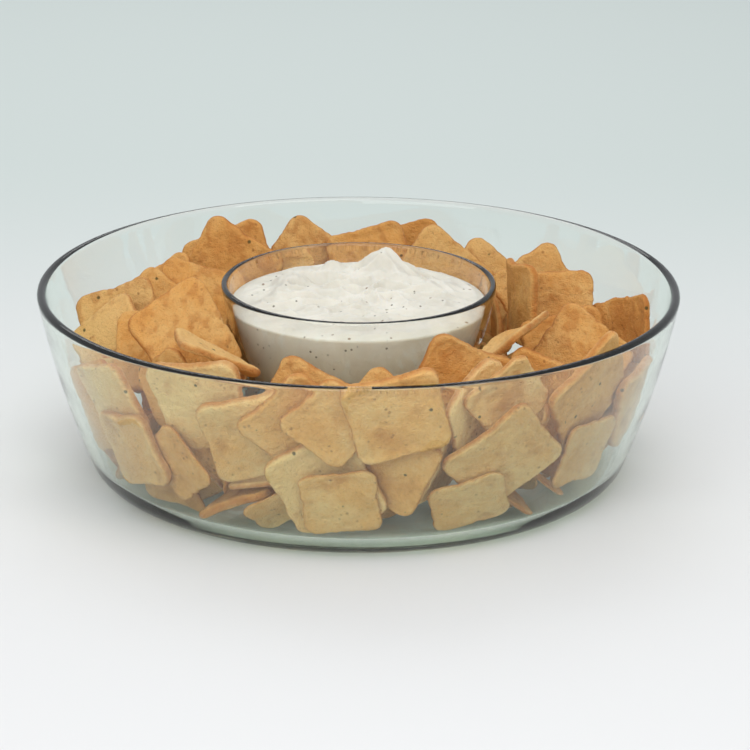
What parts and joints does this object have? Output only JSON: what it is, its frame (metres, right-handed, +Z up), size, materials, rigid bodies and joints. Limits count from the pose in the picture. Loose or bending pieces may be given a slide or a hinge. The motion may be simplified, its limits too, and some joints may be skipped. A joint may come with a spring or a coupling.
{
  "type": "chip and dip server",
  "caption": "Wide clear glass bowl filled with square toasted pita chips round a small glass bowl of creamy dip; the dip bowl and the chips lift out.",
  "frame": {"origin": "middle of the chip bowl's base, on the table", "axes": "+Z up along both bowls' axis, the front is towards -Y, +X to the right seen from the front"},
  "size_m": [0.2666, 0.2666, 0.094],
  "materials": {
    "bowl_glass": "clear polished pressed glass, faint green in its thickness",
    "dip_glass": "clear polished blown glass",
    "dip": "creamy white dip, soft and slightly wet, flecked with herbs and spice",
    "chip_golden": "toasted flatbread, matte, browned at the edges, flecked with herbs",
    "chip_pale": "lightly toasted flatbread, matte and blistered"
  },
  "bodies": {
    "chip_bowl": {"chip_bowl": "bowl_glass"},
    "dip_bowl": {"dip_bowl": "dip_glass", "dip": "dip"},
    "chips": {"chip_front_01": "chip_pale", "chip_front_02": "chip_pale", "chip_front_03": "chip_pale", "chip_front_04": "chip_pale", "chip_front_05": "chip_pale", "chip_front_06": "chip_pale", "chip_front_07": "chip_pale", "chip_front_08": "chip_pale", "chip_front_09": "chip_pale", "chip_front_10": "chip_pale", "chip_front_11": "chip_pale", "chip_front_12": "chip_pale", "chip_front_13": "chip_pale", "chip_front_14": "chip_pale", "chip_front_15": "chip_pale", "chip_front_16": "chip_pale", "chip_front_17": "chip_pale", "chip_front_18": "chip_pale", "chip_front_19": "chip_pale", "chip_front_20": "chip_pale", "chip_front_21": "chip_pale", "chip_front_22": "chip_pale", "chip_front_23": "chip_pale", "chip_front_24": "chip_pale", "chip_front_25": "chip_pale", "chip_front_26": "chip_pale", "chip_front_27": "chip_pale", "chip_top_01": "chip_golden", "chip_top_02": "chip_golden", "chip_top_03": "chip_golden", "chip_top_04": "chip_golden", "chip_top_05": "chip_golden", "chip_top_06": "chip_golden", "chip_top_08": "chip_golden", "chip_top_09": "chip_golden", "chip_top_10": "chip_golden", "chip_top_11": "chip_golden", "chip_top_12": "chip_golden", "chip_top_14": "chip_golden", "chip_top_15": "chip_golden", "chip_top_18": "chip_golden", "chip_top_20": "chip_golden", "chip_top_21": "chip_golden", "chip_top_22": "chip_golden", "chip_top_23": "chip_golden", "chip_top_24": "chip_golden", "chip_top_25": "chip_golden", "chip_top_26": "chip_golden", "chip_top_28": "chip_golden", "chips_back": "chip_golden", "chips_middle": "chip_golden"},
    "loose_chip_top_07": {"chip_top_07": "chip_golden"},
    "loose_chip_top_13": {"chip_top_13": "chip_golden"},
    "loose_chip_top_16": {"chip_top_16": "chip_golden"},
    "loose_chip_top_17": {"chip_top_17": "chip_golden"},
    "loose_chip_top_19": {"chip_top_19": "chip_golden"},
    "loose_chip_top_27": {"chip_top_27": "chip_golden"}
  },
  "joints": [
    {"name": "dip_bowl_lift", "type": "slide", "parent": "chip_bowl", "child": "dip_bowl", "axis": [0, 0, 1], "range_m": [0, 0.09]},
    {"name": "chips_lift", "type": "slide", "parent": "chip_bowl", "child": "chips", "axis": [0, 0, 1], "range_m": [0, 0.09]},
    {"name": "chip_top_07_lift", "type": "slide", "parent": "chips", "child": "loose_chip_top_07", "axis": [0, 0, 1], "range_m": [0, 0.06]},
    {"name": "chip_top_13_lift", "type": "slide", "parent": "chips", "child": "loose_chip_top_13", "axis": [0, 0, 1], "range_m": [0, 0.06]},
    {"name": "chip_top_16_lift", "type": "slide", "parent": "chips", "child": "loose_chip_top_16", "axis": [0, 0, 1], "range_m": [0, 0.06]},
    {"name": "chip_top_17_lift", "type": "slide", "parent": "chips", "child": "loose_chip_top_17", "axis": [0, 0, 1], "range_m": [0, 0.06]},
    {"name": "chip_top_19_lift", "type": "slide", "parent": "chips", "child": "loose_chip_top_19", "axis": [0, 0, 1], "range_m": [0, 0.06]},
    {"name": "chip_top_27_lift", "type": "slide", "parent": "chips", "child": "loose_chip_top_27", "axis": [0, 0, 1], "range_m": [0, 0.06]}
  ]
}
